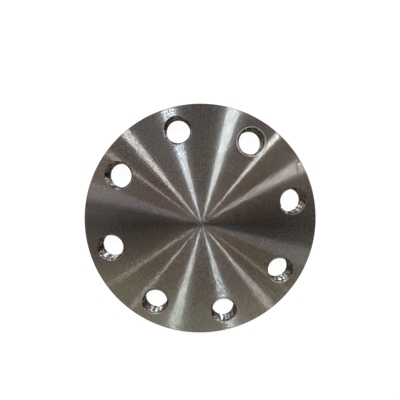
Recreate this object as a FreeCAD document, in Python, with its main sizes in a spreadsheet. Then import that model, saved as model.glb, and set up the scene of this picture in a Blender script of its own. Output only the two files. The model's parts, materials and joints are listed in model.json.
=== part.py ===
# Blank plate flange: a flat round steel plate, faced and turned on a lathe and drilled
# with a ring of plain bolt holes. It has no bore.
# Millimetres. +Z is the plate's axis and points out of the front face, the origin is the
# centre of the back face, and the X and Y axes pass midway between bolt holes.

import FreeCAD, Part
import Sketcher
import math
import os

PLATE_NAME = "flange_plate"
SHEET_NAME = "sizes"

# name, value and what it is; every length is in millimetres
DRIVING_SIZES = [
    ("bolt_circle", 150, "diameter of the circle through the bolt hole centres"),
    ("edge_distance", 17.5, "from the centre of a bolt hole to the rim"),
    ("plate_thickness", 14, "from the back face to the front face"),
    ("rim_chamfer", 0.5, "leg of the 45 degree chamfer on both edges of the rim"),
    ("hole_diameter", 19, "drilled diameter of a bolt hole"),
    ("hole_chamfer", 1.5, "leg of the 45 degree chamfer on both mouths of a bolt hole"),
    ("hole_count", 8, "number of bolt holes, evenly spaced"),
]

RIM_RADIUS = "sizes.bolt_circle / 2 + sizes.edge_distance"


def make_sheet(doc):
    sheet = doc.addObject("Spreadsheet::Sheet", SHEET_NAME)
    for row, (name, value, meaning) in enumerate(DRIVING_SIZES, start=1):
        sheet.set("A%d" % row, name)
        sheet.set("B%d" % row, str(value))
        sheet.setAlias("B%d" % row, name)
        sheet.set("C%d" % row, meaning)
    doc.recompute()
    return sheet


def origin_part(body, role):
    return next(item for item in body.Origin.OriginFeatures if item.Role == role)


def new_sketch(body, name, plane_role):
    sketch = body.newObject("Sketcher::SketchObject", name)
    sketch.AttachmentSupport = [(origin_part(body, plane_role), "")]
    sketch.MapMode = "FlatFace"
    return sketch


def name_and_bind(sketch, constraint, name, formula):
    index = sketch.addConstraint(constraint)
    sketch.renameConstraint(index, name)
    sketch.setExpression("Constraints." + name, formula)


def turn_plate(body, sheet):
    # half of the section, seen from the front with the axis on the left
    radius = sheet.bolt_circle / 2 + sheet.edge_distance
    thickness = sheet.plate_thickness
    leg = sheet.rim_chamfer
    corners = [
        FreeCAD.Vector(0, 0, 0),
        FreeCAD.Vector(radius - leg, 0, 0),
        FreeCAD.Vector(radius, leg, 0),
        FreeCAD.Vector(radius, thickness - leg, 0),
        FreeCAD.Vector(radius - leg, thickness, 0),
        FreeCAD.Vector(0, thickness, 0),
    ]
    back, lower_chamfer, rim, upper_chamfer, front, axis = range(len(corners))

    sketch = new_sketch(body, "half_section", "XZ_Plane")
    for start, end in zip(corners, corners[1:] + corners[:1]):
        sketch.addGeometry(Part.LineSegment(start, end), False)
    for line in range(len(corners)):
        following = (line + 1) % len(corners)
        sketch.addConstraint(Sketcher.Constraint("Coincident", line, 2, following, 1))
    sketch.addConstraint(Sketcher.Constraint("Coincident", back, 1, -1, 1))
    for line in (back, front):
        sketch.addConstraint(Sketcher.Constraint("Horizontal", line))
    for line in (rim, axis):
        sketch.addConstraint(Sketcher.Constraint("Vertical", line))
    name_and_bind(
        sketch, Sketcher.Constraint("DistanceX", -1, 1, rim, 1, radius), "rim_radius", RIM_RADIUS
    )
    name_and_bind(
        sketch,
        Sketcher.Constraint("DistanceY", axis, 2, axis, 1, thickness),
        "thickness",
        "sizes.plate_thickness",
    )
    chamfer_legs = [
        ("DistanceX", lower_chamfer, 1, 2, "lower_leg_across"),
        ("DistanceY", lower_chamfer, 1, 2, "lower_leg_up"),
        ("DistanceX", upper_chamfer, 2, 1, "upper_leg_across"),
        ("DistanceY", upper_chamfer, 1, 2, "upper_leg_up"),
    ]
    for kind, line, start, end, name in chamfer_legs:
        constraint = Sketcher.Constraint(kind, line, start, line, end, leg)
        name_and_bind(sketch, constraint, name, "sizes.rim_chamfer")

    turning = body.newObject("PartDesign::Revolution", "turned_blank")
    turning.Profile = sketch
    turning.ReferenceAxis = (sketch, ["V_Axis"])
    turning.Angle = 360
    sketch.Visibility = False
    body.Document.recompute()
    return turning


def drill_first_hole(body, sheet):
    # the first hole stands half a spacing away from the X axis, so the ring straddles both axes
    reach = sheet.bolt_circle / 2
    swing = math.pi / sheet.hole_count
    radius = sheet.hole_diameter / 2
    centre = FreeCAD.Vector(reach * math.cos(swing), reach * math.sin(swing), 0)

    sketch = new_sketch(body, "first_hole_place", "XY_Plane")
    sketch.setExpression("AttachmentOffset.Base.z", "sizes.plate_thickness")
    arm = sketch.addGeometry(Part.LineSegment(FreeCAD.Vector(0, 0, 0), centre), True)
    up = FreeCAD.Vector(0, 0, 1)
    circle = sketch.addGeometry(Part.Circle(centre, up, radius), False)
    sketch.addConstraint(Sketcher.Constraint("Coincident", arm, 1, -1, 1))
    sketch.addConstraint(Sketcher.Constraint("Coincident", circle, 3, arm, 2))
    name_and_bind(
        sketch, Sketcher.Constraint("Distance", arm, reach), "reach", "sizes.bolt_circle / 2"
    )
    name_and_bind(
        sketch,
        Sketcher.Constraint("Angle", -1, 1, arm, 1, swing),
        "swing",
        "180 deg / sizes.hole_count",
    )
    name_and_bind(
        sketch,
        Sketcher.Constraint("Diameter", circle, 2 * radius),
        "diameter",
        "sizes.hole_diameter",
    )
    body.Document.recompute()

    volume_before = body.Shape.Volume
    hole = body.newObject("PartDesign::Hole", "first_bolt_hole")
    hole.Profile = sketch
    body.Document.recompute()
    hole.Threaded = False
    hole.HoleCutType = "None"
    hole.DepthType = "ThroughAll"
    hole.setExpression("Diameter", "sizes.hole_diameter")
    sketch.Visibility = False
    body.Document.recompute()

    drilled = volume_before - hole.Shape.Volume
    expected = math.pi * radius**2 * sheet.plate_thickness
    if not math.isclose(drilled, expected, rel_tol=1e-3):
        raise RuntimeError("the first bolt hole removes %.1f mm3, not %.1f" % (drilled, expected))
    return hole


def repeat_hole(body, hole):
    ring = body.newObject("PartDesign::PolarPattern", "bolt_hole_ring")
    ring.Originals = [hole]
    ring.Axis = (origin_part(body, "Z_Axis"), [""])
    ring.Angle = 360
    ring.setExpression("Occurrences", "sizes.hole_count")
    body.Tip = ring
    body.Document.recompute()
    return ring


def mouth_edges(shape, radius):
    # the circles that a drill of this radius leaves in the two faces
    names = []
    for number, edge in enumerate(shape.Edges, start=1):
        if isinstance(edge.Curve, Part.Circle) and math.isclose(edge.Curve.Radius, radius):
            names.append("Edge%d" % number)
    return names


def deburr_holes(body, sheet, ring):
    names = mouth_edges(ring.Shape, sheet.hole_diameter / 2)
    if len(names) != 2 * sheet.hole_count:
        raise RuntimeError("found %d hole mouths, not two for each hole" % len(names))
    mouths = body.newObject("PartDesign::Chamfer", "chamfered_mouths")
    mouths.Base = (ring, names)
    mouths.setExpression("Size", "sizes.hole_chamfer")
    body.Tip = mouths
    body.Document.recompute()


def check_document(doc, bodies):
    for item in doc.Objects:
        if "Invalid" in item.State or "Error" in item.State:
            raise RuntimeError("%s failed: %s" % (item.Label, item.State))
    for body in bodies:
        if body.Shape.isNull() or not body.Shape.isValid():
            raise RuntimeError("%s has no valid shape" % body.Label)
        if len(body.Shape.Solids) != 1:
            raise RuntimeError("%s is not one solid" % body.Label)


def main():
    doc = FreeCAD.newDocument("blank_plate_flange")
    sheet = make_sheet(doc)

    plate = doc.addObject("PartDesign::Body", PLATE_NAME)
    plate.Label = PLATE_NAME
    turn_plate(plate, sheet)
    hole = drill_first_hole(plate, sheet)
    ring = repeat_hole(plate, hole)
    deburr_holes(plate, sheet, ring)

    doc.recompute()
    check_document(doc, [plate])

    os.makedirs("parts", exist_ok=True)
    plate.Shape.exportStep("parts/%s.step" % plate.Label)
    box = plate.Shape.BoundBox
    print("%s: %.2f x %.2f x %.2f mm" % (plate.Label, box.XLength, box.YLength, box.ZLength))
    print("volume %.0f mm3" % plate.Shape.Volume)


main()
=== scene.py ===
import bpy
import json
import math
from mathutils import Matrix, Vector


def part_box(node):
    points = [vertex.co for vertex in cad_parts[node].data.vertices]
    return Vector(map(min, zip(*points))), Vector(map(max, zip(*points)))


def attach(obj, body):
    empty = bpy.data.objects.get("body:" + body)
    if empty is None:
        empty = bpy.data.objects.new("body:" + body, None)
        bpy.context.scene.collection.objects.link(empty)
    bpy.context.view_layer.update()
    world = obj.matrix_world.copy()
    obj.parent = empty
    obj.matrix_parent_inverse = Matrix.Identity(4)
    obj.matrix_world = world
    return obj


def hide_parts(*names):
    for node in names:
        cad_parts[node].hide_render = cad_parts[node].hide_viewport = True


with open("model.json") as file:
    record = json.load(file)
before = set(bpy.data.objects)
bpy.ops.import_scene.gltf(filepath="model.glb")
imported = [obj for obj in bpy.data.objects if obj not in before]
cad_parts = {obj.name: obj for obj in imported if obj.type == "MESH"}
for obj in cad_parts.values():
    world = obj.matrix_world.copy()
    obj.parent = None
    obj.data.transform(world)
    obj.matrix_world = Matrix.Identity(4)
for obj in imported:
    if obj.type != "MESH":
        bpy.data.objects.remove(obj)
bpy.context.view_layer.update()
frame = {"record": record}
record = frame["record"]
print("frame loaded")


# node helpers: a value or another node's output goes into each named socket

def feed(tree, socket, value):
    if isinstance(value, bpy.types.NodeSocket):
        tree.links.new(value, socket)
    else:
        socket.default_value = value


def addNode(tree, kind, feeds=None, **settings):
    node = tree.nodes.new(kind)
    for name, value in settings.items():
        setattr(node, name, value)
    for socket, value in (feeds or {}).items():
        feed(tree, node.inputs[socket], value)
    return node


def maths(tree, operation, *values, clamp=False):
    feeds = dict(enumerate(values))
    return addNode(tree, "ShaderNodeMath", feeds, operation=operation, use_clamp=clamp).outputs[0]


def vectors(tree, operation, *values):
    node = addNode(tree, "ShaderNodeVectorMath", dict(enumerate(values)), operation=operation)
    return node.outputs["Value" if operation in ("LENGTH", "DOT_PRODUCT", "DISTANCE") else "Vector"]


def scaled(tree, vector, factor):
    feeds = {0: vector, "Scale": factor}
    return addNode(tree, "ShaderNodeVectorMath", feeds, operation="SCALE").outputs[0]


def split(tree, vector):
    return addNode(tree, "ShaderNodeSeparateXYZ", {0: vector}).outputs


def alongAxis(tree, length):
    # a vector of this length along the plate's axis
    return addNode(tree, "ShaderNodeCombineXYZ", {2: length}).outputs[0]


def mixColours(tree, share, first, second):
    feeds = {0: share, 6: first, 7: second}
    return addNode(tree, "ShaderNodeMix", feeds, data_type="RGBA").outputs[2]


def rescale(tree, value, low, high, toLow=0.0, toHigh=1.0, curve="LINEAR"):
    feeds = {0: value, 1: low, 2: high, 3: toLow, 4: toHigh}
    return addNode(tree, "ShaderNodeMapRange", feeds, interpolation_type=curve).outputs[0]


def noise(tree, place, scale=1.0, detail=2.0, roughness=0.5):
    feeds = {"Vector": place, "Scale": scale, "Detail": detail, "Roughness": roughness}
    return addNode(tree, "ShaderNodeTexNoise", feeds).outputs


def lineNoise(tree, place, detail=0.0, roughness=0.5):
    # noise that changes along one measure only
    feeds = {"W": place, "Scale": 1.0, "Detail": detail, "Roughness": roughness}
    return addNode(tree, "ShaderNodeTexNoise", feeds, noise_dimensions="1D").outputs


def centred(tree, value):
    # noise swings about a half, and this lets it swing about nothing
    return maths(tree, "SUBTRACT", value, 0.5)


def makeGroup(name, kind, inputs, outputs):
    tree = bpy.data.node_groups.new(name, kind)
    for title, socketKind, value in inputs:
        socket = tree.interface.new_socket(title, in_out="INPUT", socket_type=socketKind)
        if value is not None:
            socket.default_value = value
    for title, socketKind in outputs:
        tree.interface.new_socket(title, in_out="OUTPUT", socket_type=socketKind)
    return tree, tree.nodes.new("NodeGroupInput").outputs, tree.nodes.new("NodeGroupOutput").inputs


def useGroup(tree, group, feeds):
    kind = "ShaderNodeGroup" if group.bl_idname == "ShaderNodeTree" else "GeometryNodeGroup"
    node = tree.nodes.new(kind)
    node.node_tree = group
    for socket, value in feeds.items():
        feed(tree, node.inputs[socket], value)
    return node.outputs


# the plate's own frame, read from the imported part

plateLow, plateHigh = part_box("flange_plate")
boltRing = next(mount for mount in record["mounts"] if mount["name"] == "bolt_ring")
plateForm = {
    "rimRadius": plateHigh.x,
    "thickness": plateHigh.z - plateLow.z,
    "ringRadius": boltRing["dims"]["pcd_mm"] / 2000,
    "holeRadius": boltRing["dims"]["hole_r_mm"] / 1000,
    "holeCount": boltRing["dims"]["count"],
    "rimChamfer": 0.0005,
    "holeChamfer": 0.0015,
    "rimSides": 256,  # straight sides of the rim's outline
    "holeSides": 96,
    "sharpAngle": 30,  # degrees between two faces from which their edge stays hard
}


# camera, where the photo's perspective puts it

photoView = {
    "place": (-0.010294, 0.032730, 0.231804),
    "turn": (-7.1743, -1.9688, 8.3586),  # degrees
    "lens": 24.81,
    "shift": (-0.01097, 0.04022),
    "nearest": 0.01,
}


def placeCamera():
    data = bpy.data.cameras.new("photoCamera")
    data.lens = photoView["lens"]
    data.shift_x, data.shift_y = photoView["shift"]
    data.clip_start = photoView["nearest"]
    camera = bpy.data.objects.new("photoCamera", data)
    camera.location = photoView["place"]
    camera.rotation_euler = [math.radians(angle) for angle in photoView["turn"]]
    bpy.context.scene.collection.objects.link(camera)
    bpy.context.scene.camera = camera


placeCamera()
print("camera placed")


# room: strip lamps that each draw a pair of rays or a soft glow on the turned face, and dim sides

# Where a viewer above the plate sees itself in a flat mirror there, as a direction's x and y.
# A lamp draws its ray through the plate's centre along the line from that point to the lamp.
eyeFromFace = Vector(photoView["place"]) - Vector((0, 0, plateForm["thickness"]))
eyeLean = eyeFromFace.xy / eyeFromFace.length

roomLight = {
    "imageTurn": 8.235,  # degrees from the photo's right to the plate's +X
    "distance": 1.2,
    # ray's direction in the photo, lamp's width, height above the floor and reach up and down,
    # all in degrees, then radiance and colour
    "strips": [
        (28.6, 2.4, 6.0, 8.0, 9.0, (1.00, 0.96, 0.94)),
        (31.3, 4.0, 6.0, 8.0, 25.0, (1.00, 0.955, 0.99)),
        (33.9, 2.4, 28.0, 14.0, 17.5, (1.00, 0.98, 0.97)),
        (50.5, 2.8, 6.0, 8.0, 42.0, (0.99, 0.97, 1.00)),
        (50.5, 2.6, 28.0, 14.0, 21.5, (0.97, 0.98, 1.00)),
        (75.0, 7.2, 46.0, 20.0, 28.5, (0.83, 0.95, 1.00)),
        (75.0, 15.0, 46.0, 20.0, 1.65, (0.75, 0.90, 1.00)),
        (106.2, 7.5, 46.0, 20.0, 29.5, (0.76, 0.89, 1.00)),
        (106.2, 15.0, 46.0, 20.0, 1.65, (0.75, 0.90, 1.00)),
        (129.0, 4.6, 42.0, 20.0, 21.5, (0.95, 0.97, 1.00)),
        (142.0, 2.6, 30.0, 20.0, 8.5, (1.00, 0.94, 0.93)),
        (161.8, 9.5, 32.0, 10.0, 4.2, (0.90, 0.88, 1.00)),
        (180.0, 16.0, 30.0, 10.0, 0.45, (1.00, 1.00, 1.00)),
        (343.6, 9.5, 25.0, 10.0, 2.7, (0.92, 0.97, 1.00)),
    ],
}


def hangStrip(number, ray, width, height, reach, radiance, colour):
    flat = math.cos(math.radians(height))
    rise = math.sin(math.radians(height))
    along = math.radians(ray + roomLight["imageTurn"])
    lean = (eyeLean.x * math.sin(along) - eyeLean.y * math.cos(along)) / flat
    around = along + math.asin(lean)
    direction = Vector((flat * math.cos(around), flat * math.sin(around), rise))
    # its long side runs so that all of it lights the same ray
    acrossRay = Vector((-math.sin(along), math.cos(along), 0))
    upRay = acrossRay.cross(direction).normalized()
    facing = Matrix((upRay.cross(direction), upRay, direction)).transposed()
    distance = roomLight["distance"]
    data = bpy.data.lights.new("strip%d" % number, "AREA")
    data.shape = "RECTANGLE"
    data.size = 2 * distance * flat * math.tan(math.radians(width / 2))
    data.size_y = 2 * distance * math.tan(math.radians(reach / 2))
    data.energy = radiance * math.pi * data.size * data.size_y
    data.color = colour
    strip = bpy.data.objects.new("strip%d" % number, data)
    strip.location = direction * distance
    strip.rotation_euler = facing.to_euler()
    strip.visible_camera = False
    bpy.context.scene.collection.objects.link(strip)


for number, strip in enumerate(roomLight["strips"], start=1):
    hangStrip(number, *strip)


# what stands around the room, as directions in the photo in degrees and colours
roomSides = [
    (0.0, (0.012, 0.011, 0.009)),
    (12.0, (0.090, 0.060, 0.045)),
    (28.0, (0.255, 0.188, 0.168)),
    (62.0, (0.345, 0.268, 0.280)),
    (90.0, (0.211, 0.172, 0.193)),
    (118.0, (0.325, 0.289, 0.300)),
    (135.0, (0.200, 0.140, 0.150)),
    (152.0, (0.440, 0.330, 0.325)),
    (171.0, (0.155, 0.133, 0.160)),
    (180.0, (0.040, 0.037, 0.036)),
    (192.0, (0.205, 0.170, 0.140)),
    (221.0, (0.372, 0.332, 0.220)),
    (270.0, (0.383, 0.348, 0.236)),
    (298.0, (0.390, 0.325, 0.242)),
    (332.0, (0.262, 0.228, 0.119)),
    (349.0, (0.080, 0.085, 0.080)),
    (360.0, (0.012, 0.011, 0.009)),
]
roomSky = {
    "whiteUpTo": 0.02,  # sines of the heights between which the white surround fades
    "whiteGone": 0.1,
}


def paintRoom():
    world = bpy.data.worlds.new("room")
    bpy.context.scene.world = world
    world.use_nodes = True
    tree = world.node_tree
    tree.nodes.clear()
    way = tree.nodes.new("ShaderNodeTexCoord").outputs["Generated"]
    # directions are counted round the eye's mirror image, so each side of the room shows
    # as one sector of the turned face
    fromEye = addNode(tree, "ShaderNodeVectorRotate", {
        "Vector": vectors(tree, "ADD", way, (eyeLean.x, eyeLean.y, 0)),
        "Angle": math.radians(-roomLight["imageTurn"]),
    }, rotation_type="Z_AXIS").outputs[0]
    flatWay = split(tree, fromEye)
    turn = maths(tree, "ARCTAN2", flatWay[1], flatWay[0])
    around = maths(tree, "FRACT", maths(tree, "DIVIDE", turn, math.tau))
    sides = tree.nodes.new("ShaderNodeValToRGB")
    feed(tree, sides.inputs[0], around)
    ramp = sides.color_ramp
    ramp.interpolation = "EASE"
    firstStops = len(ramp.elements)
    for number, (direction, colour) in enumerate(roomSides):
        stop = ramp.elements[number] if number < firstStops else ramp.elements.new(1.0)
        stop.position = direction / 360
        stop.color = (*colour, 1)
    height = split(tree, way)[2]
    surround = rescale(
        tree, height, roomSky["whiteUpTo"], roomSky["whiteGone"], 1.0, 0.0, curve="SMOOTHSTEP"
    )
    # the steel meets the white only near the horizon and in the floor, and the room's sides
    # above, because a face that mirrored a white sky would lose its rays
    ray = tree.nodes.new("ShaderNodeLightPath").outputs
    seen = maths(tree, "MAXIMUM", ray["Is Camera Ray"], ray["Is Transmission Ray"])
    white = maths(tree, "MAXIMUM", surround, seen)
    colour = mixColours(tree, white, sides.outputs[0], (1, 1, 1, 1))
    shown = addNode(tree, "ShaderNodeBackground", {"Color": colour, "Strength": 1.0})
    addNode(tree, "ShaderNodeOutputWorld", {"Surface": shown.outputs[0]})


paintRoom()


floorLook = {"halfSize": 6.0, "glow": 0.96, "paint": 0.12}


def layFloor():
    half = floorLook["halfSize"]
    mesh = bpy.data.meshes.new("floor")
    corners = [(-half, -half, 0), (half, -half, 0), (half, half, 0), (-half, half, 0)]
    mesh.from_pydata(corners, [], [(0, 1, 2, 3)])
    floor = bpy.data.objects.new("floor", mesh)
    bpy.context.scene.collection.objects.link(floor)
    material = bpy.data.materials.new("whiteFloor")
    material.use_nodes = True
    tree = material.node_tree
    tree.nodes.clear()
    paint = addNode(tree, "ShaderNodeBsdfDiffuse", {"Color": (floorLook["paint"],) * 3 + (1,)})
    ray = tree.nodes.new("ShaderNodeLightPath").outputs
    seen = maths(tree, "MAXIMUM", ray["Is Camera Ray"], ray["Is Glossy Ray"])
    seen = maths(tree, "MAXIMUM", seen, ray["Is Transmission Ray"])
    strength = maths(tree, "MULTIPLY", seen, floorLook["glow"])
    glow = addNode(tree, "ShaderNodeEmission", {"Strength": strength})
    both = addNode(tree, "ShaderNodeAddShader", {0: paint.outputs[0], 1: glow.outputs[0]})
    addNode(tree, "ShaderNodeOutputMaterial", {"Surface": both.outputs[0]})
    mesh.materials.append(material)


layFloor()
print("room lit")


# turned steel: every finish here is cut by a tool, so its grooves come from one group

def makeTurningGroup():
    # the cutter's grooves: the normal leans to and fro across them, and the depth wanders
    tree, given, made = makeGroup(
        "turningGrooves",
        "ShaderNodeTree",
        [
            ("Distance", "NodeSocketFloat", 0.0),
            ("Across", "NodeSocketVector", None),
            ("Place", "NodeSocketVector", None),
            ("Surface Normal", "NodeSocketVector", None),
            ("Pitch", "NodeSocketFloat", 0.00025),
            ("Slope", "NodeSocketFloat", 0.35),
            ("Lean", "NodeSocketFloat", 0.0),
            ("Unevenness", "NodeSocketFloat", 0.4),
            ("Band Size", "NodeSocketFloat", 0.0015),
            ("Patch Scale", "NodeSocketFloat", 45.0),
            ("Wobble", "NodeSocketFloat", 0.0),
            ("Wobble Size", "NodeSocketFloat", 0.0015),
        ],
        [("Normal", "NodeSocketVector"), ("Band", "NodeSocketFloat")],
    )
    # a tooth from -1 to 1, deeper and shallower by turns, so gentle slopes are the commonest
    depthBeat = 0.73  # the depth's own steps to one groove
    step = maths(tree, "DIVIDE", given["Distance"], given["Pitch"])
    tooth = maths(tree, "MULTIPLY_ADD", maths(tree, "FRACT", step), 2.0, -1.0)
    toothDepth = maths(tree, "FRACT", maths(tree, "MULTIPLY", step, depthBeat))
    slope = maths(tree, "MULTIPLY", maths(tree, "MULTIPLY", tooth, toothDepth), given["Slope"])
    # bands of deeper cut, and patches that count half as much
    patchShare = 0.5
    bandPlace = maths(tree, "DIVIDE", given["Distance"], given["Band Size"])
    band = lineNoise(tree, bandPlace, detail=4.0, roughness=0.7)[0]
    patch = noise(tree, given["Place"], given["Patch Scale"])[0]
    uneven = maths(tree, "MULTIPLY_ADD", centred(tree, patch), patchShare, centred(tree, band))
    swing = maths(tree, "MULTIPLY", given["Unevenness"], 2.0)
    depth = maths(tree, "MULTIPLY_ADD", uneven, swing, 1.0)
    tilt = maths(tree, "MULTIPLY_ADD", slope, depth, given["Lean"])
    lean = vectors(tree, "ADD", given["Surface Normal"], scaled(tree, given["Across"], tilt))
    shakePlace = scaled(tree, given["Place"], maths(tree, "DIVIDE", 1.0, given["Wobble Size"]))
    shake = vectors(tree, "SUBTRACT", noise(tree, shakePlace)["Color"], (0.5, 0.5, 0.5))
    shake = scaled(tree, shake, given["Wobble"])
    normal = vectors(tree, "NORMALIZE", vectors(tree, "ADD", lean, shake))
    feed(tree, made["Normal"], normal)
    feed(tree, made["Band"], band)
    return tree


turningGrooves = makeTurningGroup()


def makeToneGroup():
    # slow stains and the bands of the cut change the colour and the shine a little
    tree, given, made = makeGroup(
        "steelTone",
        "ShaderNodeTree",
        [
            ("Place", "NodeSocketVector", None),
            ("Band", "NodeSocketFloat", 0.5),
            ("Colour", "NodeSocketColor", (0.3, 0.285, 0.27, 1)),
            ("Stain Colour", "NodeSocketColor", (0.2, 0.185, 0.17, 1)),
            ("Stain", "NodeSocketFloat", 0.3),
            ("Stain Scale", "NodeSocketFloat", 22.0),
            ("Stain From", "NodeSocketFloat", 0.35),
            ("Stain To", "NodeSocketFloat", 0.75),
            ("Banding", "NodeSocketFloat", 0.2),
            ("Roughness", "NodeSocketFloat", 0.18),
            ("Roughness Spread", "NodeSocketFloat", 0.04),
        ],
        [("Colour", "NodeSocketColor"), ("Roughness", "NodeSocketFloat")],
    )
    cloud = noise(tree, given["Place"], given["Stain Scale"], detail=5.0, roughness=0.6)[0]
    stained = rescale(tree, cloud, given["Stain From"], given["Stain To"])
    stained = maths(tree, "MULTIPLY", stained, given["Stain"])
    toned = mixColours(tree, stained, given["Colour"], given["Stain Colour"])
    bright = maths(tree, "MULTIPLY_ADD", centred(tree, given["Band"]), given["Banding"], 1.0)
    swing = maths(tree, "MULTIPLY", centred(tree, cloud), given["Roughness Spread"])
    feed(tree, made["Colour"], scaled(tree, toned, bright))
    feed(tree, made["Roughness"], maths(tree, "MULTIPLY_ADD", swing, 2.0, given["Roughness"]))
    return tree


steelTone = makeToneGroup()


def makeNearestHoleGroup():
    # how far a point lies from the axis of the nearest bolt hole; the holes straddle the X axis
    tree, given, made = makeGroup(
        "nearestHole",
        "ShaderNodeTree",
        [
            ("Place", "NodeSocketVector", None),
            ("Ring Radius", "NodeSocketFloat", 0.075),
            ("Hole Count", "NodeSocketFloat", 8.0),
        ],
        [("Distance", "NodeSocketFloat")],
    )
    place = split(tree, given["Place"])
    spacing = maths(tree, "DIVIDE", math.tau, given["Hole Count"])
    turn = maths(tree, "FLOORED_MODULO", maths(tree, "ARCTAN2", place[1], place[0]), spacing)
    aside = maths(tree, "SUBTRACT", turn, maths(tree, "MULTIPLY", spacing, 0.5))
    reach = vectors(tree, "LENGTH", vectors(tree, "MULTIPLY", given["Place"], (1, 1, 0)))
    ahead = maths(tree, "MULTIPLY", reach, maths(tree, "COSINE", aside))
    out = maths(tree, "SUBTRACT", ahead, given["Ring Radius"])
    across = maths(tree, "MULTIPLY", reach, maths(tree, "SINE", aside))
    acrossSquared = maths(tree, "MULTIPLY", across, across)
    distance = maths(tree, "SQRT", maths(tree, "MULTIPLY_ADD", out, out, acrossSquared))
    feed(tree, made["Distance"], distance)
    return tree


nearestHole = makeNearestHoleGroup()


def makeScratchGroup():
    # 1 inside a short straight scratch and 0 outside it; with both ends alike it is a speck
    tree, given, made = makeGroup(
        "scratch",
        "ShaderNodeTree",
        [
            ("Place", "NodeSocketVector", None),
            ("Start", "NodeSocketVector", None),
            ("End", "NodeSocketVector", None),
            ("Width", "NodeSocketFloat", 0.0005),
            ("Core", "NodeSocketFloat", 0.4),
        ],
        [("Mark", "NodeSocketFloat")],
    )
    reach = vectors(tree, "SUBTRACT", given["End"], given["Start"])
    fromStart = vectors(tree, "SUBTRACT", given["Place"], given["Start"])
    lengthSquared = vectors(tree, "DOT_PRODUCT", reach, reach)
    along = vectors(tree, "DOT_PRODUCT", fromStart, reach)
    share = maths(tree, "DIVIDE", along, lengthSquared, clamp=True)
    aside = vectors(tree, "LENGTH", vectors(tree, "SUBTRACT", fromStart, scaled(tree, reach, share)))
    core = maths(tree, "MULTIPLY", given["Width"], given["Core"])
    feed(tree, made["Mark"], rescale(tree, aside, core, given["Width"], 1.0, 0.0, curve="SMOOTHSTEP"))
    return tree


scratch = makeScratchGroup()


def makeSpecksGroup():
    # a few tiny specks strewn over the metal, one at most in each cell of the pattern, and
    # half of them light
    tree, given, made = makeGroup(
        "specks",
        "ShaderNodeTree",
        [
            ("Place", "NodeSocketVector", None),
            ("Spacing", "NodeSocketFloat", 0.012),
            ("Size", "NodeSocketFloat", 0.0004),
            ("Share", "NodeSocketFloat", 0.3),
        ],
        [("Speck", "NodeSocketFloat"), ("Lightness", "NodeSocketFloat")],
    )
    cellPlace = scaled(tree, given["Place"], maths(tree, "DIVIDE", 1.0, given["Spacing"]))
    cells = addNode(tree, "ShaderNodeTexVoronoi", {"Vector": cellPlace, "Scale": 1.0}).outputs
    chance = split(tree, cells["Color"])
    size = maths(tree, "DIVIDE", given["Size"], given["Spacing"])
    halfSize = maths(tree, "MULTIPLY", size, 0.5)
    inside = rescale(tree, cells["Distance"], size, halfSize, curve="SMOOTHSTEP")
    speck = maths(tree, "MULTIPLY", inside, maths(tree, "LESS_THAN", chance[0], given["Share"]))
    feed(tree, made["Speck"], speck)
    feed(tree, made["Lightness"], maths(tree, "GREATER_THAN", chance[1], 0.5))
    return tree


specks = makeSpecksGroup()


def startMetal(name):
    # bare metal whose shine is drawn out across the grooves
    material = bpy.data.materials.new(name)
    material.use_nodes = True
    tree = material.node_tree
    tree.nodes.clear()
    shader = addNode(tree, "ShaderNodeBsdfPrincipled", {"Metallic": 1.0, "Anisotropic": 1.0})
    addNode(tree, "ShaderNodeOutputMaterial", {"Surface": shader.outputs[0]})
    place = tree.nodes.new("ShaderNodeTexCoord").outputs["Object"]
    flatNormal = tree.nodes.new("ShaderNodeNewGeometry").outputs["Normal"]
    return material, tree, shader.inputs, place, flatNormal


faceFinish = {
    "colour": (0.285, 0.27, 0.255, 1),
    "centreColour": (0.33, 0.315, 0.3, 1),
    "centreReach": 0.035,
    "rimPaintedLight": (0.4, 0.402, 0.36, 1),  # the rim is painted lighter, a painted sheen, except opposite lightWay, where it is painted darker, a painted shade
    "rimPaintedShade": (0.232, 0.227, 0.22, 1),
    "rimFrom": 0.045,  # radii between which it sets in
    "rimTo": 0.095,
    "lightWay": (0.143, -0.99, 0.0),
    "lightFrom": -1.0,  # cosines of the turn from it
    "lightTo": -0.2,
    "stainColour": (0.22, 0.2, 0.185, 1),
    "stain": 0.3,
    "banding": 0.35,
    "roughness": 0.15,
    "roughnessSpread": 0.02,
    "tornRoughness": 0.38,
    "tornAnisotropic": 0.5,
    "tornSize": 0.00013,  # torn specks: how wide across the grooves, and how many to the round
    "tornArcs": 1500.0,
    "tornAtCentre": 0.46,  # the noise's level above which the steel is torn, not cut
    "tornFurther": 0.62,
    "tornReach": 0.04,  # radius up to which more of it is torn
    "tornEdge": 0.12,
    "tornAtRim": 0.12,  # how much that level falls in the lighter rim
    "gritSize": 0.0005,  # short arcs along the grooves: how thick, and how many to the round
    "gritArcs": 420.0,
    "gritTorn": 0.2,  # how far they shift that level and the colour
    "gritTone": 0.03,
    "spotReach": 0.0035,  # the pip at the centre, where the cutter ran out of speed
    "spotColour": (0.1, 0.098, 0.095, 1),
    "mottleFrom": 0.004,  # radii between which the dark mottling round it fades
    "mottleTo": 0.012,
    "mottleScale": 1100.0,
    "mottleStrength": 6.0,
    "pitch": 0.00025,
    "slope": 1.35,
    "rimSlope": 1.25,
    "unevenness": 0.15,
    "bandSize": 0.0013,
}


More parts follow.
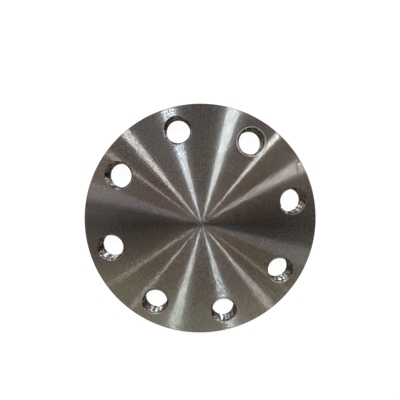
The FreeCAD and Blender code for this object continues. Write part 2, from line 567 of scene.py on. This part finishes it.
# marks on the front face: start, end and width
faceMarks = [
    ((0.0661, 0.0592), (0.0675, 0.0570), 0.0006),
    ((0.0675, 0.0570), (0.0681, 0.0546), 0.0007),
    ((0.0681, 0.0546), (0.0688, 0.0524), 0.0006),
    ((0.0678, 0.0590), (0.0689, 0.0603), 0.0006),
    ((0.0663, 0.0541), (0.0670, 0.0547), 0.0005),
    ((-0.0397, 0.0583), (-0.0397, 0.0583), 0.0006),
    ((-0.0614, 0.0406), (-0.0614, 0.0406), 0.0007),
    ((0.0454, 0.0612), (0.0454, 0.0612), 0.0006),
    ((-0.0441, -0.0413), (-0.0437, -0.0417), 0.0005),
    ((-0.0222, -0.0224), (-0.0219, -0.0227), 0.0004),
]
# a burr left round a mouth, its brightness a painted highlight: centre, radius and width
burrs = [
    ((0.0287, 0.0693), 0.0112, 0.0006),
]
markLook = {
    "burrHighlightColour": (0.85, 0.83, 0.8, 1),
    "burrRoughness": 0.5,
    "colour": (0.05, 0.042, 0.035, 1),
    "strength": 0.9,
    "depth": 0.00003,
    "speckDark": (0.09, 0.065, 0.05, 1),
    "speckLight": (0.6, 0.57, 0.53, 1),
    "speckSpacing": 0.009,
    "speckSize": 0.00035,
    "speckShare": 0.3,
    "speckStrength": 0.6,
}


def findBurrs(tree, place):
    found = 0.0
    for centre, radius, width in burrs:
        aside = vectors(tree, "DISTANCE", place, (*centre, plateForm["thickness"]))
        away = maths(tree, "ABSOLUTE", maths(tree, "SUBTRACT", aside, radius))
        burr = rescale(tree, away, width / 4, width / 2, 1.0, 0.0, curve="SMOOTHSTEP")
        found = maths(tree, "MAXIMUM", found, burr)
    return found


def addMarks(tree, place, colour, normal):
    marked = 0.0
    for start, end, width in faceMarks:
        mark = useGroup(tree, scratch, {
            "Place": place,
            "Start": (*start, plateForm["thickness"]),
            "End": (*end, plateForm["thickness"]),
            "Width": width,
        })["Mark"]
        marked = maths(tree, "MAXIMUM", marked, mark)
    strewn = useGroup(tree, specks, {
        "Place": place,
        "Spacing": markLook["speckSpacing"],
        "Size": markLook["speckSize"],
        "Share": markLook["speckShare"],
    })
    speckColour = mixColours(tree, strewn["Lightness"], markLook["speckDark"], markLook["speckLight"])
    speckShare = maths(tree, "MULTIPLY", strewn["Speck"], markLook["speckStrength"])
    colour = mixColours(tree, speckShare, colour, speckColour)
    markShare = maths(tree, "MULTIPLY", marked, markLook["strength"])
    colour = mixColours(tree, markShare, colour, markLook["colour"])
    hollow = maths(tree, "MULTIPLY", maths(tree, "MAXIMUM", marked, strewn["Speck"]), -1.0)
    dented = addNode(tree, "ShaderNodeBump", {
        "Height": hollow,
        "Distance": markLook["depth"],
        "Normal": normal,
    }).outputs[0]
    return colour, dented


def roundNoise(tree, outwards, reach, arcs, size, detail):
    # noise laid out round the plate's axis: so many cells to the round, each of one width
    aside = scaled(tree, outwards, arcs / math.tau)
    out = alongAxis(tree, maths(tree, "DIVIDE", reach, size))
    return noise(tree, vectors(tree, "ADD", aside, out), detail=detail)[0]


def colourFace(tree, place, reach, outer, light, grit):
    # dark at the pip, lighter round it, and lighter again in the rim, a painted sheen, but for its dark
    # side, a painted shade
    inner = rescale(tree, reach, 0.0, faceFinish["centreReach"], 1.0, 0.0, curve="SMOOTHSTEP")
    colour = mixColours(tree, inner, faceFinish["colour"], faceFinish["centreColour"])
    rimPaintedLight = mixColours(tree, light, faceFinish["rimPaintedShade"], faceFinish["rimPaintedLight"])
    colour = mixColours(tree, outer, colour, rimPaintedLight)
    mottling = centred(tree, noise(tree, place, faceFinish["mottleScale"], detail=0.0)[0])
    fading = rescale(
        tree, reach, faceFinish["mottleFrom"], faceFinish["mottleTo"], faceFinish["mottleStrength"], 0.0
    )
    spot = rescale(tree, reach, 0.0, faceFinish["spotReach"], 1.0, 0.0)
    spot = maths(tree, "MULTIPLY_ADD", mottling, fading, spot, clamp=True)
    colour = mixColours(tree, spot, colour, faceFinish["spotColour"])
    return scaled(tree, colour, maths(tree, "MULTIPLY_ADD", grit, faceFinish["gritTone"], 1.0))


def tearFace(tree, outwards, reach, sheenedRim, grit):
    # where the cutter tore the steel: many specks at the centre, fewer further out
    level = rescale(
        tree, reach, 0.0, faceFinish["tornReach"], faceFinish["tornAtCentre"], faceFinish["tornFurther"]
    )
    level = maths(tree, "MULTIPLY_ADD", sheenedRim, -faceFinish["tornAtRim"], level)
    level = maths(tree, "MULTIPLY_ADD", grit, faceFinish["gritTorn"], level)
    speckle = roundNoise(
        tree, outwards, reach, faceFinish["tornArcs"], faceFinish["tornSize"], detail=0.0
    )
    return rescale(tree, speckle, level, maths(tree, "ADD", level, faceFinish["tornEdge"]))


def finishFace():
    # faced in the lathe: fine grooves run in circles round the plate's axis
    material, tree, shader, place, flatNormal = startMetal("turnedFace")
    radial = vectors(tree, "MULTIPLY", place, (1, 1, 0))
    reach = vectors(tree, "LENGTH", radial)
    outwards = vectors(tree, "NORMALIZE", radial)
    outer = rescale(tree, reach, faceFinish["rimFrom"], faceFinish["rimTo"], curve="SMOOTHSTEP")
    # the rim's colour is painted lighter on every side but the one opposite lightWay: a painted sheen,
    # and there a painted shade
    apart = vectors(tree, "DOT_PRODUCT", outwards, faceFinish["lightWay"])
    light = rescale(tree, apart, faceFinish["lightFrom"], faceFinish["lightTo"], curve="SMOOTHSTEP")
    sheenedRim = maths(tree, "MULTIPLY", outer, light)
    grooves = useGroup(tree, turningGrooves, {
        "Distance": reach,
        "Across": outwards,
        "Place": place,
        "Surface Normal": flatNormal,
        "Pitch": faceFinish["pitch"],
        "Slope": rescale(tree, sheenedRim, 0.0, 1.0, faceFinish["slope"], faceFinish["rimSlope"]),
        "Unevenness": faceFinish["unevenness"],
        "Band Size": faceFinish["bandSize"],
    })
    grit = centred(tree, roundNoise(
        tree, outwards, reach, faceFinish["gritArcs"], faceFinish["gritSize"], detail=1.0
    ))
    torn = tearFace(tree, outwards, reach, sheenedRim, grit)
    roughness = rescale(tree, torn, 0.0, 1.0, faceFinish["roughness"], faceFinish["tornRoughness"])
    tone = useGroup(tree, steelTone, {
        "Place": place,
        "Band": grooves["Band"],
        "Colour": colourFace(tree, place, reach, outer, light, grit),
        "Stain Colour": faceFinish["stainColour"],
        "Stain": faceFinish["stain"],
        "Banding": faceFinish["banding"],
        "Roughness": roughness,
        "Roughness Spread": faceFinish["roughnessSpread"],
    })
    colour, normal = addMarks(tree, place, tone["Colour"], grooves["Normal"])
    # the burr's bright ring is a painted highlight in the base colour
    burr = findBurrs(tree, place)
    feed(tree, shader["Base Color"], mixColours(tree, burr, colour, markLook["burrHighlightColour"]))
    burrRoughness = maths(tree, "MULTIPLY", burr, markLook["burrRoughness"])
    feed(tree, shader["Roughness"], maths(tree, "MAXIMUM", tone["Roughness"], burrRoughness))
    drawnShine = rescale(tree, torn, 0.0, 1.0, 1.0, faceFinish["tornAnisotropic"])
    feed(tree, shader["Anisotropic"], drawnShine)
    feed(tree, shader["Normal"], normal)
    feed(tree, shader["Tangent"], radial)
    return material


def makeDrawnPlaceGroup():
    # a place drawn out along the plate's axis, and shifted from one ring of the cut to the next
    tree, given, made = makeGroup(
        "drawnPlace",
        "ShaderNodeTree",
        [
            ("Place", "NodeSocketVector", None),
            ("Drawn Out", "NodeSocketFloat", 0.1),
            ("Ring Size", "NodeSocketFloat", 0.0014),
            ("Ring Shift", "NodeSocketFloat", 0.0),
        ],
        [("Place", "NodeSocketVector"), ("Ring", "NodeSocketFloat")],
    )
    height = split(tree, given["Place"])[2]
    rings = lineNoise(tree, maths(tree, "DIVIDE", height, given["Ring Size"]))
    shift = scaled(tree, rings["Color"], given["Ring Shift"])
    shifted = vectors(tree, "ADD", given["Place"], shift)
    stretch = vectors(tree, "ADD", (1, 1, 0), alongAxis(tree, given["Drawn Out"]))
    feed(tree, made["Place"], vectors(tree, "MULTIPLY", shifted, stretch))
    feed(tree, made["Ring"], rings[0])
    return tree


drawnPlace = makeDrawnPlaceGroup()


def finishRound(name, look):
    # rim, chamfers and bores: the grooves run round them, one above the other
    material, tree, shader, place, flatNormal = startMetal(name)
    up = alongAxis(tree, 1.0)
    drawn = useGroup(tree, drawnPlace, {
        "Place": place,
        "Drawn Out": look["drawnOut"],
        "Ring Size": look["ringSize"],
        "Ring Shift": look["ringShift"],
    })
    grooves = useGroup(tree, turningGrooves, {
        "Distance": split(tree, place)[2],
        "Across": up,
        "Place": drawn["Place"],
        "Surface Normal": flatNormal,
        "Pitch": look["pitch"],
        "Slope": look["slope"],
        "Lean": look["lean"],
        "Unevenness": look["unevenness"],
        "Band Size": look["bandSize"],
        "Wobble": look["wobble"],
    })
    tone = useGroup(tree, steelTone, {
        "Place": place,
        "Band": grooves["Band"],
        "Colour": look["colour"],
        "Stain Colour": look["stainColour"],
        "Stain": look["stain"],
        "Banding": look["banding"],
        "Roughness": look["roughness"],
        "Roughness Spread": look["roughnessSpread"],
    })
    feed(tree, shader["Roughness"], tone["Roughness"])
    feed(tree, shader["Normal"], grooves["Normal"])
    feed(tree, shader["Tangent"], up)
    return material, tree, shader, place, drawn, tone["Colour"]


# every finish below starts from the rim's
rimFinish = {
    "colour": (0.28, 0.265, 0.25, 1),
    "stainColour": (0.2, 0.185, 0.17, 1),
    "stain": 0.3,
    "banding": 0.3,
    "roughness": 0.25,
    "roughnessSpread": 0.05,
    "pitch": 0.0003,
    "slope": 0.15,
    "lean": 0.0,
    "unevenness": 0.5,
    "bandSize": 0.001,
    "wobble": 0.02,
    "drawnOut": 1.0,  # below 1 the wobble is drawn out along the plate's axis
    "ringSize": 0.0014,  # the cut's coarse rings, and how far the wobble shifts from one to the next
    "ringShift": 0.0,
}
# the rim's chamfers: their dark colour is a painted shade
edgeFinish = dict(rimFinish, colour=(0.06, 0.055, 0.05, 1), slope=0.1)


def finishPlain(name, look):
    material, tree, shader, _, _, colour = finishRound(name, look)
    feed(tree, shader["Base Color"], colour)
    return material


def makeDrillStreaksGroup():
    # bright streaks along a hole's wall, painted highlights, broken where the drill's rings cross them
    tree, given, made = makeGroup(
        "drillStreakHighlights",
        "ShaderNodeTree",
        [
            ("Drawn Place", "NodeSocketVector", None),
            ("Ring", "NodeSocketFloat", 0.5),
            ("Ring Depth", "NodeSocketFloat", 0.6),
            ("Ring From", "NodeSocketFloat", 0.4),
            ("Ring To", "NodeSocketFloat", 0.5),
            ("Scale", "NodeSocketFloat", 420.0),
            ("From", "NodeSocketFloat", 0.5),
            ("To", "NodeSocketFloat", 0.6),
        ],
        [("Streak", "NodeSocketFloat")],
    )
    streaks = noise(tree, given["Drawn Place"], given["Scale"])[0]
    streaks = rescale(tree, streaks, given["From"], given["To"], curve="SMOOTHSTEP")
    dull = rescale(tree, given["Ring"], given["Ring From"], given["Ring To"], 1.0, 0.0)
    dull = maths(tree, "MULTIPLY", dull, given["Ring Depth"])
    feed(tree, made["Streak"], maths(tree, "MULTIPLY", streaks, maths(tree, "SUBTRACT", 1.0, dull)))
    return tree


drillStreakHighlights = makeDrillStreaksGroup()


def streakHighlightColour(tree, drawn, colour, look):
    streak = useGroup(tree, drillStreakHighlights, {
        "Drawn Place": drawn["Place"],
        "Ring": drawn["Ring"],
        "Ring Depth": look["ringDepth"],
        "Scale": look["streakScale"],
        "From": look["streakFrom"],
        "To": look["streakTo"],
    })["Streak"]
    return mixColours(tree, streak, colour, look["streakHighlightColour"])


boreFinish = dict(
    rimFinish,
    # the wall's dark colour is a painted shade inside the hole, and its lighter streaks are painted
    # highlights
    colour=(0.11, 0.113, 0.106, 1),
    stainColour=(0.076, 0.078, 0.073, 1),
    banding=1.2,
    roughness=0.24,
    pitch=0.0009,
    slope=0.5,
    lean=1.3,
    wobble=0.8,
    drawnOut=0.1,
    ringShift=0.004,
    ringDepth=0.85,  # how much of a streak a dull ring takes away
    streakHighlightColour=(0.47, 0.435, 0.37, 1),
    streakFrom=0.5,  # levels of the noise between which a streak comes up
    streakTo=0.57,
    streakScale=650.0,
)


def finishBore():
    material, tree, shader, _, drawn, colour = finishRound("drilledBore", boreFinish)
    feed(tree, shader["Base Color"], streakHighlightColour(tree, drawn, colour, boreFinish))
    return material


mouthFinish = dict(
    boreFinish,
    # the countersink's dark colour is a painted shade; its lighter streaks and edge line are painted
    # highlights
    colour=(0.065, 0.064, 0.058, 1),
    roughness=0.28,
    pitch=0.0003,
    slope=0.3,
    lean=0.0,
    wobble=0.5,
    streakHighlightColour=(0.4, 0.37, 0.33, 1),
    lineHighlightColour=(0.65, 0.635, 0.6, 1),
    lineRoughness=0.6,
    lineWidth=0.0005,
    lineBreaks=70.0,  # the noise that breaks the line: its scale, and its levels from gap to line
    lineFrom=0.42,
    lineTo=0.62,
)


def finishMouth():
    # the countersink is painted dark, a painted shade, and its outer edge carries a thin broken bright
    # line, a painted highlight
    material, tree, shader, place, drawn, colour = finishRound("countersunkMouth", mouthFinish)
    streaked = streakHighlightColour(tree, drawn, colour, mouthFinish)
    fromHole = useGroup(tree, nearestHole, {
        "Place": place,
        "Ring Radius": plateForm["ringRadius"],
        "Hole Count": plateForm["holeCount"],
    })["Distance"]
    edge = plateForm["holeRadius"] + plateForm["holeChamfer"]
    lineWidth = mouthFinish["lineWidth"]
    line = rescale(tree, fromHole, edge - lineWidth, edge - lineWidth / 2)
    breaks = noise(tree, place, mouthFinish["lineBreaks"])[0]
    whole = rescale(tree, breaks, mouthFinish["lineFrom"], mouthFinish["lineTo"])
    line = maths(tree, "MULTIPLY", line, whole)
    roughness = rescale(tree, line, 0.0, 1.0, mouthFinish["roughness"], mouthFinish["lineRoughness"])
    feed(tree, shader["Base Color"], mixColours(tree, line, streaked, mouthFinish["lineHighlightColour"]))
    feed(tree, shader["Roughness"], roughness)
    return material


faceMetal = finishFace()
rimMetal = finishPlain("turnedRim", rimFinish)
edgeMetal = finishPlain("brokenEdge", edgeFinish)
mouthMetal = finishMouth()
boreMetal = finishBore()
print("steel finished")


# the plate: a blank turned to a drum, with a ring of cutters taken out of it

def makeDrumTree():
    # a round bar of one waist radius whose ends flare or taper to another over a short leg
    tree, given, made = makeGroup(
        "turnedDrum",
        "GeometryNodeTree",
        [
            ("End Radius", "NodeSocketFloat", 0.09),
            ("Waist Radius", "NodeSocketFloat", 0.0925),
            ("Leg", "NodeSocketFloat", 0.0005),
            ("Waist Height", "NodeSocketFloat", 0.013),
            ("Start Height", "NodeSocketFloat", 0.0),
            ("Sides", "NodeSocketInt", 256),
        ],
        [("Mesh", "NodeSocketGeometry")],
    )
    upwards = (0, 0, 1)
    weldReach = 1e-6  # the underside and the first leg share their outline exactly
    disc = addNode(tree, "GeometryNodeMeshCircle", {
        "Vertices": given["Sides"],
        "Radius": given["End Radius"],
    }, fill_type="NGON").outputs[0]
    lift = alongAxis(tree, given["Start Height"])
    disc = addNode(tree, "GeometryNodeSetPosition", {"Geometry": disc, "Offset": lift}).outputs[0]
    mesh, top = disc, True
    stages = [
        (given["Leg"], maths(tree, "DIVIDE", given["Waist Radius"], given["End Radius"])),
        (given["Waist Height"], 1.0),
        (given["Leg"], maths(tree, "DIVIDE", given["End Radius"], given["Waist Radius"])),
    ]
    for rise, growth in stages:
        pulled = addNode(tree, "GeometryNodeExtrudeMesh", {
            "Mesh": mesh,
            "Selection": top,
            "Offset": upwards,
            "Offset Scale": rise,
            "Individual": False,
        }, mode="FACES").outputs
        top = pulled["Top"]
        mesh = addNode(tree, "GeometryNodeScaleElements", {
            "Geometry": pulled["Mesh"],
            "Selection": top,
            "Scale": growth,
        }, domain="FACE").outputs[0]
    underside = addNode(tree, "GeometryNodeFlipFaces", {"Mesh": disc}).outputs[0]
    joined = tree.nodes.new("GeometryNodeJoinGeometry")
    for part in (mesh, underside):
        tree.links.new(part, joined.inputs[0])
    closed = addNode(tree, "GeometryNodeMergeByDistance", {
        "Geometry": joined.outputs[0],
        "Distance": weldReach,
    }).outputs[0]
    feed(tree, made["Mesh"], closed)
    return tree


def makePlateTree(drum):
    tree, given, made = makeGroup(
        "drilledPlate",
        "GeometryNodeTree",
        [
            ("Rim Radius", "NodeSocketFloat", 0.0925),
            ("Thickness", "NodeSocketFloat", 0.014),
            ("Rim Chamfer", "NodeSocketFloat", 0.0005),
            ("Ring Radius", "NodeSocketFloat", 0.075),
            ("Hole Radius", "NodeSocketFloat", 0.0095),
            ("Hole Chamfer", "NodeSocketFloat", 0.0015),
            ("Hole Count", "NodeSocketInt", 8),
            ("Rim Sides", "NodeSocketInt", 256),
            ("Hole Sides", "NodeSocketInt", 96),
            ("Overshoot", "NodeSocketFloat", 0.001),
            ("Face Metal", "NodeSocketMaterial", None),
            ("Rim Metal", "NodeSocketMaterial", None),
            ("Edge Metal", "NodeSocketMaterial", None),
            ("Mouth Metal", "NodeSocketMaterial", None),
            ("Bore Metal", "NodeSocketMaterial", None),
        ],
        [("Mesh", "NodeSocketGeometry")],
    )
    twoLegs = maths(tree, "MULTIPLY", given["Rim Chamfer"], 2.0)
    blank = useGroup(tree, drum, {
        "End Radius": maths(tree, "SUBTRACT", given["Rim Radius"], given["Rim Chamfer"]),
        "Waist Radius": given["Rim Radius"],
        "Leg": given["Rim Chamfer"],
        "Waist Height": maths(tree, "SUBTRACT", given["Thickness"], twoLegs),
        "Sides": given["Rim Sides"],
    })["Mesh"]
    # the cutter starts under the plate, so its flared ends reach a little past both faces
    cutterLeg = maths(tree, "ADD", given["Hole Chamfer"], given["Overshoot"])
    twoChamfers = maths(tree, "MULTIPLY", given["Hole Chamfer"], 2.0)
    cutter = useGroup(tree, drum, {
        "End Radius": maths(tree, "ADD", given["Hole Radius"], cutterLeg),
        "Waist Radius": given["Hole Radius"],
        "Leg": cutterLeg,
        "Waist Height": maths(tree, "SUBTRACT", given["Thickness"], twoChamfers),
        "Start Height": maths(tree, "MULTIPLY", given["Overshoot"], -1.0),
        "Sides": given["Hole Sides"],
    })["Mesh"]
    # a ring of them, turned by half a spacing so that the holes straddle the X axis
    ring = addNode(tree, "GeometryNodeMeshCircle", {
        "Vertices": given["Hole Count"],
        "Radius": given["Ring Radius"],
    }).outputs[0]
    swing = alongAxis(tree, maths(tree, "DIVIDE", math.pi, given["Hole Count"]))
    ring = addNode(tree, "GeometryNodeTransform", {"Geometry": ring, "Rotation": swing}).outputs[0]
    cutters = addNode(tree, "GeometryNodeInstanceOnPoints", {
        "Points": ring,
        "Instance": cutter,
    }).outputs[0]
    cutters = addNode(tree, "GeometryNodeRealizeInstances", {"Geometry": cutters}).outputs[0]
    drilled = addNode(tree, "GeometryNodeMeshBoolean", {
        "Mesh 1": blank,
        "Mesh 2": cutters,
    }, operation="DIFFERENCE", solver="EXACT").outputs["Mesh"]

    # each face takes its metal from the way it looks and from how near the rim it is
    flatFrom, uprightTo = 0.95, 0.05  # how much of its normal stands along the axis
    facing = tree.nodes.new("GeometryNodeInputNormal").outputs[0]
    level = maths(tree, "ABSOLUTE", split(tree, facing)[2])
    flat = maths(tree, "GREATER_THAN", level, flatFrom)
    upright = maths(tree, "LESS_THAN", level, uprightTo)
    place = tree.nodes.new("GeometryNodeInputPosition").outputs[0]
    fromAxis = vectors(tree, "LENGTH", vectors(tree, "MULTIPLY", place, (1, 1, 0)))
    holesEnd = maths(tree, "ADD", given["Ring Radius"], given["Hole Radius"])
    holesEnd = maths(tree, "ADD", holesEnd, given["Hole Chamfer"])
    between = maths(tree, "MULTIPLY", maths(tree, "ADD", holesEnd, given["Rim Radius"]), 0.5)
    nearRim = maths(tree, "GREATER_THAN", fromAxis, between)
    mesh = drilled
    for metal, chosen in (
        ("Mouth Metal", True),
        ("Edge Metal", nearRim),
        ("Bore Metal", upright),
        ("Rim Metal", maths(tree, "MULTIPLY", upright, nearRim)),
        ("Face Metal", flat),
    ):
        mesh = addNode(tree, "GeometryNodeSetMaterial", {
            "Geometry": mesh,
            "Selection": chosen,
            "Material": given[metal],
        }).outputs[0]
    feed(tree, made["Mesh"], mesh)
    return tree


def setInputs(modifier, values):
    items = modifier.node_group.interface.items_tree
    sockets = {item.name: item.identifier for item in items if item.in_out == "INPUT"}
    for title, value in values.items():
        modifier[sockets[title]] = value


def bakeModifiers(piece):
    # turns what the piece's modifiers show into its own plain mesh
    depsgraph = bpy.context.evaluated_depsgraph_get()
    mesh = bpy.data.meshes.new_from_object(
        piece.evaluated_get(depsgraph), preserve_all_data_layers=True, depsgraph=depsgraph
    )
    piece.modifiers.clear()
    piece.data = mesh
    mesh.name = piece.name
    for number in reversed(range(len(mesh.materials))):
        if mesh.materials[number] is None:
            mesh.materials.pop(index=number)
    return mesh


def buildPlate():
    plate = bpy.data.objects.new("flangePlate", bpy.data.meshes.new("flangePlate"))
    bpy.context.scene.collection.objects.link(plate)
    turning = plate.modifiers.new("drilledPlate", "NODES")
    turning.node_group = makePlateTree(makeDrumTree())
    setInputs(turning, {
        "Rim Radius": plateForm["rimRadius"],
        "Thickness": plateForm["thickness"],
        "Rim Chamfer": plateForm["rimChamfer"],
        "Ring Radius": plateForm["ringRadius"],
        "Hole Radius": plateForm["holeRadius"],
        "Hole Chamfer": plateForm["holeChamfer"],
        "Hole Count": plateForm["holeCount"],
        "Rim Sides": plateForm["rimSides"],
        "Hole Sides": plateForm["holeSides"],
        "Face Metal": faceMetal,
        "Rim Metal": rimMetal,
        "Edge Metal": edgeMetal,
        "Mouth Metal": mouthMetal,
        "Bore Metal": boreMetal,
    })
    mesh = bakeModifiers(plate)
    mesh.shade_smooth()
    mesh.set_sharp_from_angle(angle=math.radians(plateForm["sharpAngle"]))
    return plate


plate = buildPlate()
print("plate turned and drilled:", len(plate.data.polygons), "faces")

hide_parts("flange_plate")
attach(plate, "root")


scene = bpy.context.scene
scene.view_settings.view_transform = "Standard"
